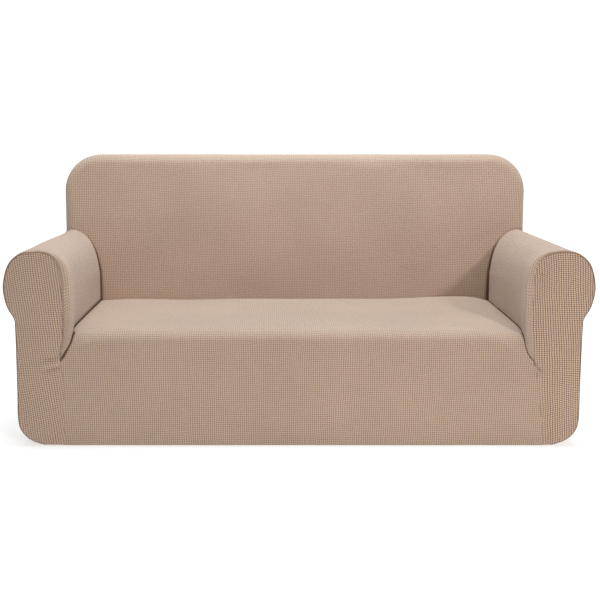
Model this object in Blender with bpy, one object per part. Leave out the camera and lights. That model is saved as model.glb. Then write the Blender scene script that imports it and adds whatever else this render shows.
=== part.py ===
"""Fitted stretch cover for a three-seat sofa with rolled arms.

The cover is one knit cloth cut into seven panels: two arm fronts, two arm wraps (inner side,
roll and outer side in one piece), the seat with its front skirt, the inside back with its
round edge, and the outside back. It is hollow and open below, as it is when it is pulled on.

Metres. X runs across, the front faces -Y, Z is up, and the hem lies at Z = 0. Each panel is a
grid of points on its outer face, and Solidify gives it the thickness of the cloth inwards.
Panels that share a seam take their edge from the same function and lie GAP apart.
"""

import bpy
import numpy as np

# ---------------------------------------------------------------- the cloth
CLOTH = 0.0025
GAP = 0.0003
CLOTH_COLOUR = (0.56, 0.43, 0.33, 1.0)

# ---------------------------------------------------------------- driving sizes
FRONT_Y = -0.442  # the seam round an arm front
REAR_Y = 0.450  # the outside back
SEAT_Z = 0.390  # the crease between the seat and its neighbours
SEAT_REAR_RISE = 0.006  # the seat beside the back's crease, and its front edge, stand this
SEAT_FRONT_RISE = 0.018  # far above the crease
SEAT_EDGE_R = 0.037  # the round of the seat's front edge
SEAT_CORNER_Z = 0.300  # where the seat's crease runs out into the seam of an arm front
BACK_Y = 0.195  # the crease between the seat and the inside back
BACK_LEAN = 0.10  # how far the inside back leans for each metre of height
BACK_CROWN = 0.012
BACK_TOP_Z = 0.982
BACK_HALF = 0.946
BACK_CORNER_R = 0.148
BACK_EDGE_R = 0.035  # the round from the inside back to its top and sides
BACK_REAR_DROP = 0.008  # the top falls this far from here to the rear
REAR_DROP_START_Y = 0.30
HEM_TUCK = 0.006  # the elastic hem draws in this far, front and rear
HEM_TUCK_Z = 0.050
CREASE_DEPTH = 0.008  # cloth pushed down into the crease round the seat
CREASE_WIDTH = 0.016
ARM_FRONT_CROWN = 0.008
LIP_LEFT, LIP_RIGHT = 0.028, 0.017  # an arm's padded front edge stands this far in over the seat
LIP_FADE = 0.045
SKIRT_CROWN = 0.005
CORNER_FADE = 0.075  # how far the dip at a front corner of the seat reaches along it
RIGHT_ROLL_IN = 0.012  # the right arm front is this much wider at its inner side
WALL_EASE, WALL_EASE_POWER = 0.5, 4  # how an inner wall turns into the roll above it
FRONT_ARCH_POWER = 6  # how soon the top of an arm front flattens out below
FRONT_SHADE, SEAT_SHADE, REAR_SHADE = 0.92, 1.04, 0.96  # panels read lighter or darker

# The seam between an arm front and the skirt, then the inner wall, from the hem up.
SEAM = (
    # z      left_x  right_x
    (0.000, 0.812, 0.849),
    (0.070, 0.809, 0.841),
    (0.110, 0.808, 0.836),
    (0.150, 0.806, 0.828),
    (0.210, 0.805, 0.819),
    (0.260, 0.807, 0.813),
    (0.300, 0.811, 0.803),
    (0.330, 0.808, 0.796),
    (0.380, 0.802, 0.790),
    (0.460, 0.796, 0.784),
    (0.560, 0.795, 0.783),
)
SEAM_Z, SEAM_LEFT, SEAM_RIGHT = np.array(SEAM).T
SEAM_ROWS = SEAM_Z[SEAM_Z <= SEAT_CORNER_Z]

# One arm in section, above the straight part of its inner wall, from the inside outwards.
ARM_SECTION = (
    # place                front_x front_z back_x  back_z  lip   roll_in
    ("inner wall, high", 0.7950, 0.560, 0.8050, 0.500, 1.00, 1.00),
    ("inner shoulder", 0.7990, 0.612, 0.8135, 0.555, 0.90, 1.00),
    ("round of the roll", 0.8120, 0.646, 0.8260, 0.600, 0.70, 0.90),
    ("inner top", 0.8360, 0.668, 0.8480, 0.640, 0.40, 0.60),
    ("top", 0.8720, 0.677, 0.8800, 0.667, 0.20, 0.20),
    ("crown", 0.9050, 0.678, 0.9080, 0.676, 0.15, 0.00),
    ("outer top", 0.9380, 0.667, 0.9370, 0.669, 0.12, 0.00),
    ("outer shoulder", 0.9650, 0.638, 0.9650, 0.640, 0.10, 0.00),
    ("scroll, high", 0.9830, 0.597, 0.9830, 0.597, 0.08, 0.00),
    ("scroll, widest", 0.9910, 0.545, 0.9900, 0.545, 0.05, 0.00),
    ("scroll, low", 0.9810, 0.489, 0.9800, 0.489, 0.02, 0.00),
    ("under the scroll", 0.9605, 0.449, 0.9620, 0.449, 0.00, 0.00),
    ("outer wall", 0.9585, 0.420, 0.9595, 0.420, 0.00, 0.00),
    ("outer wall, low", 0.9640, 0.210, 0.9640, 0.210, 0.00, 0.00),
    ("bottom corner", 0.9660, 0.100, 0.9660, 0.100, 0.00, 0.00),
    ("bottom round", 0.9510, 0.052, 0.9510, 0.052, 0.00, 0.00),
    ("bottom, under", 0.9210, 0.021, 0.9210, 0.021, 0.00, 0.00),
    ("hem", 0.8760, 0.000, 0.8760, 0.000, 0.00, 0.00),
)

CROWN_ROW, SCROLL_ROW = 5, 8  # between these rows of ARM_SECTION the roll widens outwards

# Where the cloth of the seat stands a little high or low on the padding under it.
SEAT_WAVES = (
    # x      y      reach_x reach_y height
    (0.700, 0.130, 0.120, 0.090, 0.009),
    (-0.250, -0.080, 0.300, 0.160, -0.004),
    (0.330, -0.120, 0.260, 0.150, -0.003),
)

# ---------------------------------------------------------------- how finely it is drawn
INNER_WALL_STEPS = 5
ROLL_STEPS = 11  # from the inner wall to where the back's edge begins
EDGE_STEPS = 3  # round the edge of the back
# Rows of ARM_SECTION, counted from 0, that the columns from there down to the hem lie on.
OUTER_PLACES = (7, 7.6, 8.3, 9, 9.6, 10.3, 11, 12.4, 13.6, 14.1, 14.6, 15.1, 15.6, 16.1, 16.5, 17)
SEAT_ROWS = (0.0, 0.10, 0.25, 0.42, 0.58, 0.72, 0.84, 0.93, 1.0)  # from crease to front edge
CORNER_ROWS = (0.62, 0.32, 0.12, 0.03, 0.0)  # over the front edge, as parts of SEAT_EDGE_R
SIDE_COLUMNS = (0.0, 0.016, 0.045, 0.10, 0.19)  # distances from a side of the seat
SEAT_COLUMNS = 8
FRONT_TOP_STEPS = 5  # along the top of an arm front, up to the column FACE_EDGE + 1
REAR_ROWS = 3
REAR_COLUMNS = 6
BACK_SIDE_STEPS, BACK_CORNER_STEPS, BACK_TOP_STEPS = 2, 5, 10
LEFT, RIGHT = -1, 1


# ---------------------------------------------------------------- curves
def smooth_curve(points, per_span=16):
    """Catmull-Rom curve through the rows of points, with its parameter: whole numbers lie on
    the rows themselves, so columns sampled alike stay side by side."""
    p = np.vstack([2 * points[0] - points[1], points, 2 * points[-1] - points[-2]])
    spans = len(points) - 1
    s = np.linspace(0, spans, spans * per_span + 1)
    i = np.minimum(s.astype(int), spans - 1)
    t = (s - i)[:, None]
    a, b, c, d = p[i], p[i + 1], p[i + 2], p[i + 3]
    curve = 0.5 * (2 * b + (c - a) * t + (2 * a - 5 * b + 4 * c - d) * t**2
                   + (3 * b - a - 3 * c + d) * t**3)
    return s, curve


def even_steps(s, curve, start, end, steps):
    """Parameters between start and end that part the curve into runs of equal length."""
    length = np.concatenate([[0], np.cumsum(np.linalg.norm(np.diff(curve, axis=0), axis=1))])
    marks = np.linspace(*np.interp((start, end), s, length), steps + 1)
    return np.interp(marks, length, s)


def at(s, curve, wanted):
    """The curve's points at the wanted parameters."""
    return np.stack([np.interp(wanted, s, column) for column in curve.T], axis=-1)


def falloff(value, low, high):
    """1 below low and 0 above high, with a soft slope between."""
    t = np.clip((value - low) / (high - low), 0, 1)
    return 1 - t * t * (3 - 2 * t)


# ---------------------------------------------------------------- shared seams
def hem_tuck(z):
    """How far the elastic draws a front or rear panel in, at height z."""
    return HEM_TUCK * np.clip(1 - z / HEM_TUCK_Z, 0, 1) ** 2


def seam_x(side, z):
    """Distance from the middle of the seam between skirt and arm front, at height z."""
    return np.interp(z, SEAM_Z, SEAM_LEFT if side == LEFT else SEAM_RIGHT)


def outer_roll():
    """The outer side of the roll at the back, where x grows: parameters, x and z."""
    s, _, back, _, _ = arm_curves()
    widening = (s >= CROWN_ROW) & (s <= SCROLL_ROW)
    return s[widening], back[widening, 0], back[widening, 1]


def back_y(x, z):
    """The inside back: a leaning plane, crowned forwards in its middle."""
    up = np.clip((z - SEAT_Z) / (BACK_TOP_Z - SEAT_Z), 0, 1)
    crown = BACK_CROWN * (1 - (x / BACK_HALF) ** 2) * np.sin(np.pi * up)
    return BACK_Y + BACK_LEAN * (z - SEAT_Z) - crown


def arm_curves():
    """The arm's section at its front and at the back, and its lip and roll-in weights, all
    over one parameter."""
    rows = np.array([row[1:] for row in ARM_SECTION])
    s, front = smooth_curve(rows[:, 0:2])
    back = smooth_curve(rows[:, 2:4])[1]
    lip, roll_in = (np.interp(s, np.arange(len(rows)), rows[:, k]) for k in (4, 5))
    return s, front, back, lip, roll_in


def edge_insets():
    """How far the round edge of the back stands in from its side, and how far back it is."""
    angle = np.linspace(np.pi / 2, 0, EDGE_STEPS + 1)
    return BACK_EDGE_R * (1 - np.cos(angle)), BACK_EDGE_R * (1 - np.sin(angle))


def arm_samples():
    """Parameters along the arm's section: over the roll, round the back's edge, to the hem."""
    s, _, back, _, _ = arm_curves()
    outer_s, outer_x, _ = outer_roll()
    edge = np.interp(BACK_HALF - edge_insets()[0], outer_x, outer_s)
    roll = even_steps(s, back, 0, edge[0], ROLL_STEPS)
    return np.concatenate([roll, edge[1:], OUTER_PLACES])


JUNCTION = INNER_WALL_STEPS + ROLL_STEPS + EDGE_STEPS  # the column at the back's side
FACE_EDGE = INNER_WALL_STEPS + ROLL_STEPS  # the column where the back's face ends


def crease_rows(side):
    """Rows from the back crease to the arm front: depth, height of the crease, and how far the
    arm's padded edge stands in there."""
    front = FRONT_Y + CLOTH + GAP
    seat = BACK_Y + (front + SEAT_EDGE_R - BACK_Y) * np.array(SEAT_ROWS)
    y = np.concatenate([seat, front + SEAT_EDGE_R * np.array(CORNER_ROWS)])
    t = np.clip((y - front) / SEAT_EDGE_R, 0, 1)
    rise = np.sqrt(1 - (1 - t) ** 2)
    z = SEAT_CORNER_Z + (SEAT_Z - SEAT_CORNER_Z) * rise
    past = np.maximum(y - front - SEAT_EDGE_R, 0)
    lip = (LIP_LEFT if side == LEFT else LIP_RIGHT) * rise / (1 + (past / LIP_FADE) ** 2)
    return y, z, lip


def arm_parts(y):
    """Depths of crease_rows as parts of the way from the arm front, 0, to the back, 1."""
    return (y - y[-1]) / (y[0] - y[-1])


def arm_section(side, part, crease_z, lip):
    """One row of an arm wrap, across the arm: part is 0 at the arm front and 1 at the back."""
    s, front, back, lip_weight, roll_in = arm_curves()
    take = arm_samples()
    bulge = at(s, lip_weight[:, None], take)[:, 0] * lip
    inward = at(s, roll_in[:, None], take)[:, 0] * (RIGHT_ROLL_IN if side == RIGHT else 0)
    f, b = at(s, front, take), at(s, back, take)
    f[:, 0] -= inward
    rough = f + (b - f) * part
    along = np.gradient(rough, axis=0)
    along /= np.linalg.norm(along, axis=1)[:, None]
    rough += np.stack([-along[:, 1], along[:, 0]], axis=1) * bulge[:, None]
    up = np.linspace(0, 1, INNER_WALL_STEPS + 1)[:-1]
    z = crease_z + (rough[0, 1] - crease_z) * up
    x = seam_x(side, z) * (1 - part) + back[0, 0] * part - lip
    x += (rough[0, 0] - x[-1]) * WALL_EASE * up**WALL_EASE_POWER
    return np.vstack([np.stack([x, z], axis=1), rough])


def back_end_y(section):
    """Where each point of an arm's last section meets the back: on its face, then round its
    edge, and level with the edge's end from there on."""
    x, z = section.T
    y = back_y(x, z)
    y[FACE_EDGE:JUNCTION + 1] += edge_insets()[1]
    y[JUNCTION + 1:] = y[JUNCTION]
    return y


# ---------------------------------------------------------------- building a panel
def material(name, shade):
    """Matt knit cloth, a little lighter or darker for each panel."""
    mat = bpy.data.materials.new(name)
    mat.use_nodes = True
    bsdf = mat.node_tree.nodes["Principled BSDF"]
    bsdf.inputs["Base Color"].default_value = (*(c * shade for c in CLOTH_COLOUR[:3]), 1.0)
    bsdf.inputs["Roughness"].default_value = 0.9
    bsdf.inputs["Metallic"].default_value = 0.0
    return mat


def cloth_panel(name, grid, shade=1.0, keep=None, flip=False):
    """A panel from its outer face: grid is rows x columns x 3, keep says which cells exist."""
    rows, columns = grid.shape[:2]
    keep = np.ones((rows - 1, columns - 1), bool) if keep is None else keep
    corner = np.arange(rows * columns).reshape(rows, columns)
    cells = np.stack([corner[:-1, :-1], corner[1:, :-1], corner[1:, 1:], corner[:-1, 1:]], -1)
    cells = cells[keep]
    if flip:
        cells = cells[:, ::-1]
    used, cells = np.unique(cells, return_inverse=True)
    mesh = bpy.data.meshes.new(name)
    mesh.from_pydata(grid.reshape(-1, 3)[used].tolist(), [], cells.reshape(-1, 4).tolist())
    mesh.shade_smooth()
    mesh.materials.append(material(name, shade))
    obj = bpy.data.objects.new(name, mesh)
    bpy.context.scene.collection.objects.link(obj)
    wall = obj.modifiers.new("cloth", "SOLIDIFY")
    wall.thickness = CLOTH
    wall.offset = -1
    wall.use_even_offset = True
    return obj


# ---------------------------------------------------------------- the panels
def arm_wrap(name, side):
    """Inner side, roll and outer side of an arm. Behind the face of the back only the outer
    part goes on, along the back's side to the rear."""
    y, z, lip = crease_rows(side)
    part = arm_parts(y)
    sections = [arm_section(side, *row) for row in zip(part, z, lip)]
    last = back_end_y(sections[0]) - GAP
    front = FRONT_Y + hem_tuck(sections[-1][:, 1]) + CLOTH + GAP
    rear = REAR_Y - hem_tuck(sections[0][:, 1]) - CLOTH - GAP
    rows = []
    for t in np.linspace(1, 0, REAR_ROWS + 1)[:-1]:
        rows.append((sections[0], last + (rear - last) * t))
    for section, p in zip(sections, part):
        rows.append((section, front + (last - front) * p))
    grid = np.array([np.stack([side * s[:, 0], depth, s[:, 1]], axis=1) for s, depth in rows])
    keep = np.ones((len(rows) - 1, grid.shape[1] - 1), bool)
    keep[:REAR_ROWS, :JUNCTION] = False
    grid[REAR_ROWS:, 0, 2] += GAP - CREASE_DEPTH * crease_share(y)
    return cloth_panel(name, grid, keep=keep, flip=side == LEFT)


def crease_share(y):
    """The crease is deepest along the seat and runs out at the arm front."""
    return 1 - falloff(y, FRONT_Y + CLOTH, FRONT_Y + 3 * SEAT_EDGE_R)


def arm_front(name, side):
    """The flat scroll-shaped panel, a little crowned, from the hem to the roll's top. Its rows
    run between an inner and an outer edge that have equally many points."""
    outline = arm_section(side, 0, SEAT_CORNER_Z, 0)
    low = np.stack([seam_x(side, SEAM_ROWS[:-1]), SEAM_ROWS[:-1]], axis=1)
    top_outer = FACE_EDGE + 1
    top_inner = top_outer - FRONT_TOP_STEPS
    inner = np.vstack([low, outline[:top_inner + 1]])
    outer = outline[top_outer:][::-1]
    across = np.linspace(0, 1, FRONT_TOP_STEPS + 1)
    flat = inner[:, None] + (outer - inner)[:, None] * across[None, :, None]
    arch = outline[top_inner:top_outer + 1] - flat[-1]
    up = np.linspace(0, 1, len(inner))[:, None]
    flat += arch[None] * up[..., None] ** FRONT_ARCH_POWER
    flat[:len(SEAM_ROWS), 0, 0] += GAP
    crown = ARM_FRONT_CROWN * np.sin(np.pi * across) * np.sqrt(np.sin(np.pi * up))
    y = FRONT_Y + hem_tuck(flat[..., 1]) - crown
    grid = np.stack([side * flat[..., 0], y, flat[..., 1]], axis=-1)
    return cloth_panel(name, grid, FRONT_SHADE, flip=side == RIGHT)


def seat_side(side):
    """The seat's side edge: along the crease to the front, then down the seam to the hem."""
    y, z, lip = crease_rows(side)
    part = arm_parts(y)
    x = [arm_section(side, *row)[0, 0] for row in zip(part, z, lip)]
    low_z = SEAM_ROWS[:-1][::-1]
    x = np.concatenate([x, seam_x(side, low_z)])
    y = np.concatenate([y, FRONT_Y + hem_tuck(low_z)])
    z = np.concatenate([z, low_z])
    y[0] -= GAP
    return np.stack([x - GAP, y, z], axis=1)


def seat_middle(side_edge):
    """The seat's section in the middle: deck, round front edge, and skirt down to the hem."""
    deck, corner = len(SEAT_ROWS), len(CORNER_ROWS)
    y, z = side_edge[:, 1].copy(), side_edge[:, 2].copy()
    forward = (y[0] - y[:deck]) / (y[0] - y[deck - 1])
    rise = SEAT_FRONT_RISE - SEAT_REAR_RISE
    z[:deck] = SEAT_Z + SEAT_REAR_RISE + rise * np.sin(forward * np.pi / 2)
    angle = np.linspace(0, np.pi / 2, corner + 1)[1:]
    top, edge = z[deck - 1], y[deck - 1]
    reach = edge - FRONT_Y + SKIRT_CROWN
    y[deck:deck + corner] = edge - reach * np.sin(angle)
    z[deck:deck + corner] = top - SEAT_EDGE_R * (1 - np.cos(angle))
    low = side_edge[deck + corner:, 2]
    z[deck + corner:] = low / SEAT_CORNER_Z * (top - SEAT_EDGE_R)
    hang = SKIRT_CROWN * low / SEAT_CORNER_Z
    y[deck + corner:] = FRONT_Y - hang + hem_tuck(low)
    return y, z


def seat_waves(x, y, z):
    """The unevenness of the deck, fading to nothing at the crease round it and down the front."""
    sides = 1 - falloff(SEAM_LEFT.min() - np.abs(x), 0.0, 3 * CREASE_WIDTH)
    on_deck = sides * (1 - falloff(z, SEAT_Z - CREASE_DEPTH, SEAT_Z))
    total = np.zeros_like(x)
    for centre_x, centre_y, reach_x, reach_y, height in SEAT_WAVES:
        away = ((x - centre_x) / reach_x) ** 2 + ((y - centre_y) / reach_y) ** 2
        total += height * np.exp(-away)
    return total * on_deck


def seat_and_skirt(name):
    """The seat deck with the front skirt, in one piece between the arms. Each column has its
    x, the side edge that it follows near the crease, and how far inside that edge it lies."""
    left, right = seat_side(LEFT), seat_side(RIGHT)
    y, z = seat_middle(left)
    start, end = SIDE_COLUMNS[-1] - left[:, 0], right[:, 0] - SIDE_COLUMNS[-1]
    columns = [(d - left[:, 0], left, d) for d in SIDE_COLUMNS]
    for t in np.linspace(0, 1, SEAT_COLUMNS + 1)[1:-1]:
        inside = SIDE_COLUMNS[-1] + (end - start) * min(t, 1 - t)
        columns.append((start + (end - start) * t, left if t < 0.5 else right, inside))
    columns += [(right[:, 0] - d, right, d) for d in SIDE_COLUMNS[::-1]]
    grid = []
    for x, edge, inside in columns:
        share = np.exp(-((inside / CORNER_FADE) ** 2))
        in_crease = CREASE_DEPTH * np.maximum(0, 1 - inside / CREASE_WIDTH) * crease_share(edge[:, 1])
        grid.append(np.stack([x, y + (edge[:, 1] - y) * share,
                              z + (edge[:, 2] - z) * share - in_crease], axis=1))
    grid = np.array(grid)
    grid[..., 2] += seat_waves(grid[..., 0], grid[..., 1], grid[..., 2])
    grid[:, 0, 2] = SEAT_Z - CREASE_DEPTH
    return cloth_panel(name, grid, SEAT_SHADE, flip=True)


def arch(inset):
    """The outline of the back above the arms, set in by inset, from the left arm over the top
    to the right arm."""
    _, outer_x, outer_z = outer_roll()
    half, top, radius = BACK_HALF - inset, BACK_TOP_Z - inset, BACK_CORNER_R - inset
    foot = np.interp(half, outer_x, outer_z) + GAP
    side_z = np.linspace(foot, BACK_TOP_Z - BACK_CORNER_R, BACK_SIDE_STEPS + 1)
    angle = np.linspace(0, np.pi / 2, BACK_CORNER_STEPS + 1)[1:]
    centre_x, centre_z = BACK_HALF - BACK_CORNER_R, BACK_TOP_Z - BACK_CORNER_R
    x = np.concatenate([np.full(len(side_z), half), centre_x + radius * np.cos(angle)])
    z = np.concatenate([side_z, centre_z + radius * np.sin(angle)])
    top_x = np.linspace(-centre_x, centre_x, BACK_TOP_STEPS + 1)[1:-1]
    x = np.concatenate([-x, top_x, x[::-1]])
    z = np.concatenate([z, np.full(len(top_x), top), z[::-1]])
    return np.stack([x, z], axis=1)


def rear_drop(y, z):
    """The top of the back falls a little towards the rear."""
    high = 1 - falloff(z, BACK_TOP_Z - BACK_CORNER_R, BACK_TOP_Z - BACK_EDGE_R)
    t = np.clip((y - REAR_DROP_START_Y) / (REAR_Y - REAR_DROP_START_Y), 0, 1)
    return BACK_REAR_DROP * t**2 * high


def shares(points):
    """How far along its length each point of a line lies, from 0 to 1."""
    run = np.concatenate([[0], np.cumsum(np.linalg.norm(np.diff(points, axis=0), axis=1))])
    return run / run[-1]


def back_face():
    """The face of the inside back as a patch between four lines: the arch above, the seat's
    crease below, and the two arms at its sides."""
    above = arch(BACK_EDGE_R)
    arm = arm_section(RIGHT, 1, SEAT_Z, 0)[:FACE_EDGE + 1][::-1].copy()
    arm[:-1, 0] -= GAP * np.linspace(0, 1, FACE_EDGE)
    arm[:, 1] += GAP
    arm[0] = above[-1]
    right, left = arm, arm * (-1, 1)
    u, v = shares(above)[None, :, None], shares(arm)[:, None, None]
    below = left[-1] + (right[-1] - left[-1]) * u[0]
    patch = (1 - v) * above[None] + v * below[None] + (1 - u) * left[:, None] + u * right[:, None]
    corners = ((1 - u) * (1 - v) * above[0] + u * (1 - v) * above[-1]
               + (1 - u) * v * left[-1] + u * v * right[-1])
    return patch - corners


def inside_back(name):
    """The inside back, its face and the round edge that runs on over top and sides."""
    rows = []
    inset, behind = edge_insets()
    rear = REAR_Y - CLOTH - GAP
    side = arch(0)
    start = back_y(*side.T) + BACK_EDGE_R
    for t in np.linspace(1, 0, REAR_ROWS + 1)[:-1]:
        rows.append((side, start + (rear - start) * t))
    for i, b in zip(inset[::-1], behind[::-1]):
        line = arch(i)
        rows.append((line, back_y(*line.T) + b))
    for line in back_face()[1:]:
        rows.append((line, back_y(*line.T)))
    grid = np.array([np.stack([line[:, 0], y, line[:, 1]], axis=1) for line, y in rows])
    grid[..., 2] -= rear_drop(grid[..., 1], grid[..., 2])
    grid[-1, :, 2] -= CREASE_DEPTH
    return cloth_panel(name, grid)


def outside_back(name):
    """The outside back, flat, with the outline of the arms and of the back's top."""
    arm = arm_section(RIGHT, 1, SEAT_Z, 0)[JUNCTION:][::-1]
    above = arch(0)[::-1]
    above = above[:BACK_SIDE_STEPS + BACK_CORNER_STEPS + 1]
    edge = np.vstack([arm[:-1], above])
    edge[:, 1] -= rear_drop(REAR_Y, edge[:, 1])
    across = np.linspace(-1, 1, REAR_COLUMNS + 1)
    x = edge[:, 0][:, None] * across[None]
    z = np.repeat(edge[:, 1][:, None], len(across), axis=1)
    grid = np.stack([x, REAR_Y - hem_tuck(z), z], axis=-1)
    return cloth_panel(name, grid, REAR_SHADE)


def main():
    for obj in list(bpy.data.objects):
        bpy.data.objects.remove(obj, do_unlink=True)
    for label, side in (("left", LEFT), ("right", RIGHT)):
        arm_front(f"arm_front_{label}", side)
        arm_wrap(f"arm_wrap_{label}", side)
    seat_and_skirt("seat_and_skirt")
    inside_back("inside_back")
    outside_back("outside_back")


main()
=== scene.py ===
"""Looks of a fitted stretch cover for a three-seat sofa with rolled arms.

The cover is sewn from seven panels of a small-check stretch knit. Each panel here is a thin
sheet on the form of its solid: a grid of points worked out from the same section tables, with
rolled seam edges, tucked creases, puckers and the hem added as troughs and ridges. Metres, X
across, the front faces -Y, Z up, and the hem lies at Z = 0.
"""

import bpy
import numpy as np
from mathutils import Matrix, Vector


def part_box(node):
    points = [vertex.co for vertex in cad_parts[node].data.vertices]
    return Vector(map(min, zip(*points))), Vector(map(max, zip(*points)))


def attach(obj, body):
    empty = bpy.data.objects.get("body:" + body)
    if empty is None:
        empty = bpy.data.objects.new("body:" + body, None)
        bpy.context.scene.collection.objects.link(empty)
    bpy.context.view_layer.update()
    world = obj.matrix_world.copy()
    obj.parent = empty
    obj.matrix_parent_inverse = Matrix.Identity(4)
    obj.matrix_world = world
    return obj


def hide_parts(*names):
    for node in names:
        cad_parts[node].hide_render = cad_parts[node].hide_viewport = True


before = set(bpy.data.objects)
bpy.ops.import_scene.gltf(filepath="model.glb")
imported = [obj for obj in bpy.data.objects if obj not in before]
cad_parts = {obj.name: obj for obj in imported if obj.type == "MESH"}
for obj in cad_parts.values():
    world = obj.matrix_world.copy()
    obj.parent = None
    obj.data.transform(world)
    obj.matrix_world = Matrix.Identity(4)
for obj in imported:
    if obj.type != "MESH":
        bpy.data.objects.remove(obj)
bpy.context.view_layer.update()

# ---------------- the cloth and its colours
CLOTH = 0.0015
GAP = 0.0003
CHECK_ACROSS, CHECK_ALONG = 0.0074, 0.0069  # one raised square with its groove
STITCHES = 4  # loops of yarn to a square, both ways
SHEEN = 0.3  # of the fuzz on the yarn
FRONT_STRETCH = 1.09  # an arm front's knit is pulled wider than the rest
COLUMN_LEAN = 0.087  # its columns run a little to the right downwards
ROLL_X, ROLL_Z, ROLL_REACH = 0.889, 0.500, 0.15  # its rows arch over the middle of the roll
ROW_TILT, ROW_TILT_Z = 0.23, (0.08, 0.34)  # and tilt down outwards at the foot
# How far each panel's knit is pulled open: the squares get paler, their grooves wider and darker.
# Between the two arm fronts the difference is partly painted light: the right front's stronger
# check stands in for the key light grazing it, and the left front's browner tone for its shade.
OPEN_LEFT_FRONT, OPEN_RIGHT_FRONT = 0.57, 0.82
OPEN_WRAP, OPEN_DECK, OPEN_SKIRT, OPEN_REAR = 0.10, 0.05, 0.34, 0.10
LIP_OPEN_REACH, LIP_OPEN_Z = 0.030, (0.42, 0.56)  # the left lip is pulled open like its front
OPEN_BACK_SIDE, BACK_SIDE_REACH = 0.30, 0.25  # towards its sides the inside back opens
DECK_FADE_Z = (0.36, 0.40)  # from the skirt to the deck the knit closes
SQUARE, OPEN_SQUARE = (0.598, 0.440, 0.338), (0.745, 0.535, 0.395)
GROOVE, OPEN_GROOVE = (0.435, 0.298, 0.216), (0.170, 0.095, 0.052)
# painted shadow: the dark brown colour that seams and creases turn to where shade falls in them
CREASE_SHADOW = (0.085, 0.030, 0.012)  # inside a crease
WHITE = (1.0, 1.0, 1.0, 1.0)

# ---------------- driving sizes, the first ones from the frame
REAR_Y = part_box("outside_back")[1][1]
BACK_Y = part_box("inside_back")[0][1]
BACK_HALF, _, BACK_TOP_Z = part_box("inside_back")[1]

FRONT_Y = -0.442  # the seam round an arm front
SEAT_Z = 0.390  # the crease between the seat and its neighbours
SEAT_REAR_RISE, SEAT_FRONT_RISE = 0.006, 0.018
SEAT_EDGE_R = 0.037
SEAT_CORNER_Z = 0.300  # where the seat's crease runs out into the seam of an arm front
BACK_LEAN, BACK_CROWN = 0.10, 0.005
BACK_CORNER_R = 0.148
BACK_EDGE_R = 0.035
BACK_REAR_DROP, REAR_DROP_START_Y = 0.008, 0.30
HEM_TUCK, HEM_TUCK_Z = 0.006, 0.050
ARM_FRONT_CROWN = 0.008
LIP_LEFT, LIP_RIGHT, LIP_FADE = 0.028, 0.021, 0.045
LIP_TURN_LEFT, LIP_TURN_RIGHT = 2, 4  # how soon above the seat's corner the lip is full
SKIRT_CROWN = 0.005
CORNER_FADE = 0.075  # from a side of the seat to the form of its middle
RIGHT_ROLL_IN = 0.012  # at the front the right roll reaches in a little
WALL_EASE_POWER = 4  # the inner wall leans to the roll only near its top
FRONT_BOW_POWER = 6  # the rows of an arm front bow up only near its top
SHARP = 1e-5  # the round of an edge that isn't rolled

# ---------------- seams, creases and hem
SEAM_ROLL = 0.0038  # the round of a sewn edge
EDGE_START = 1 - np.sqrt(0.5)  # a rolled edge ends half way round, at its seam
SEAM_DIP, SEAM_DIP_WIDTH = 0.0009, 0.0018
FLAT_SEAM_DIP, FLAT_SEAM_WIDTH = 0.0004, 0.0045
CREASE_DEPTH, CREASE_WIDTH = 0.013, 0.018  # the seat turned down into the crease round it
FOOT_TUCK, FOOT_TUCK_WIDTH = 0.0015, 0.010  # an arm's foot in that crease
BACK_TUCK, BACK_TUCK_WIDTH = 0.006, 0.014  # the inside back where an arm or the seat meets it
HEM_HEIGHT, HEM_PROUD, HEM_STEP = 0.025, 0.0007, 0.002
HEM_LINE, HEM_LINE_WIDTH = 1.6, 0.0022  # its stitched line, as so many times HEM_PROUD

# Painted shade in the seams and creases, where the cloth turns into a groove. A shade is full up
# to its first distance from a seam and gone at its second, and 1 is darkest.
SEAM_REACH = (0.0007, 0.0027)
NEAR_REACH, FAR_REACH = (0.002, 0.007), (0.0055, 0.0115)  # the two sides of a crease
WIDE_LEFT, WIDE_RIGHT = 1.5, 0.8  # how much wider the dark in the seat's side creases is
BURIED = 0.65  # the part of an arm's foot, in the crease round the seat, that is out of sight
# how dark the painted shade is in a crease, and along the seams over the arms and round the back
CREASE_SHADE, TOP_SEAM_SHADE = 0.9, 0.60
CREASE_END_Z, CREASE_END_SHARE = (0.57, 0.67), 0.3  # up there the back's side creases fade
WIDE_BACK_LEFT, WIDE_BACK_RIGHT = 1.15, 1.5  # and the right one is wider
# painted shade along an arm front's inner seam, then along the skirt's seams, left and right
INNER_SEAM_SHADE_LEFT, INNER_SEAM_SHADE_RIGHT = 0.06, 0.02
SKIRT_SEAM_SHADE_LEFT, SKIRT_SEAM_SHADE_RIGHT = 0.02, 0.08
SKIRT_SEAM_FADE = 0.018  # beside that seam the two panels' knits are pulled open alike
CREASE_OUT_Z = (SEAT_CORNER_Z - 0.004, SEAT_CORNER_Z + 0.012)  # where the crease's dark ends
# painted shade in the troughs of the puckers
FOLD_SHADE, FOLD_START = 0.60, 0.5  # a trough darkens as its depth passes half of its width
TOP_DIP, TOP_DIP_X, TOP_DIP_WIDTH, TOP_DIP_FADE = 0.0035, 0.891, 0.012, 0.030

# The seam between the skirt and the arm fronts, and on up their inner side.
SEAM = (
    # z      left_x  right_x
    (0.000, 0.812, 0.849),
    (0.070, 0.809, 0.841),
    (0.110, 0.808, 0.836),
    (0.150, 0.806, 0.828),
    (0.210, 0.805, 0.819),
    (0.260, 0.807, 0.813),
    (0.300, 0.812, 0.803),
    (0.330, 0.812, 0.797),
    (0.380, 0.802, 0.790),
    (0.460, 0.796, 0.784),
    (0.560, 0.795, 0.783),
)
SEAM_Z, SEAM_LEFT, SEAM_RIGHT = np.array(SEAM).T

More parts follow.
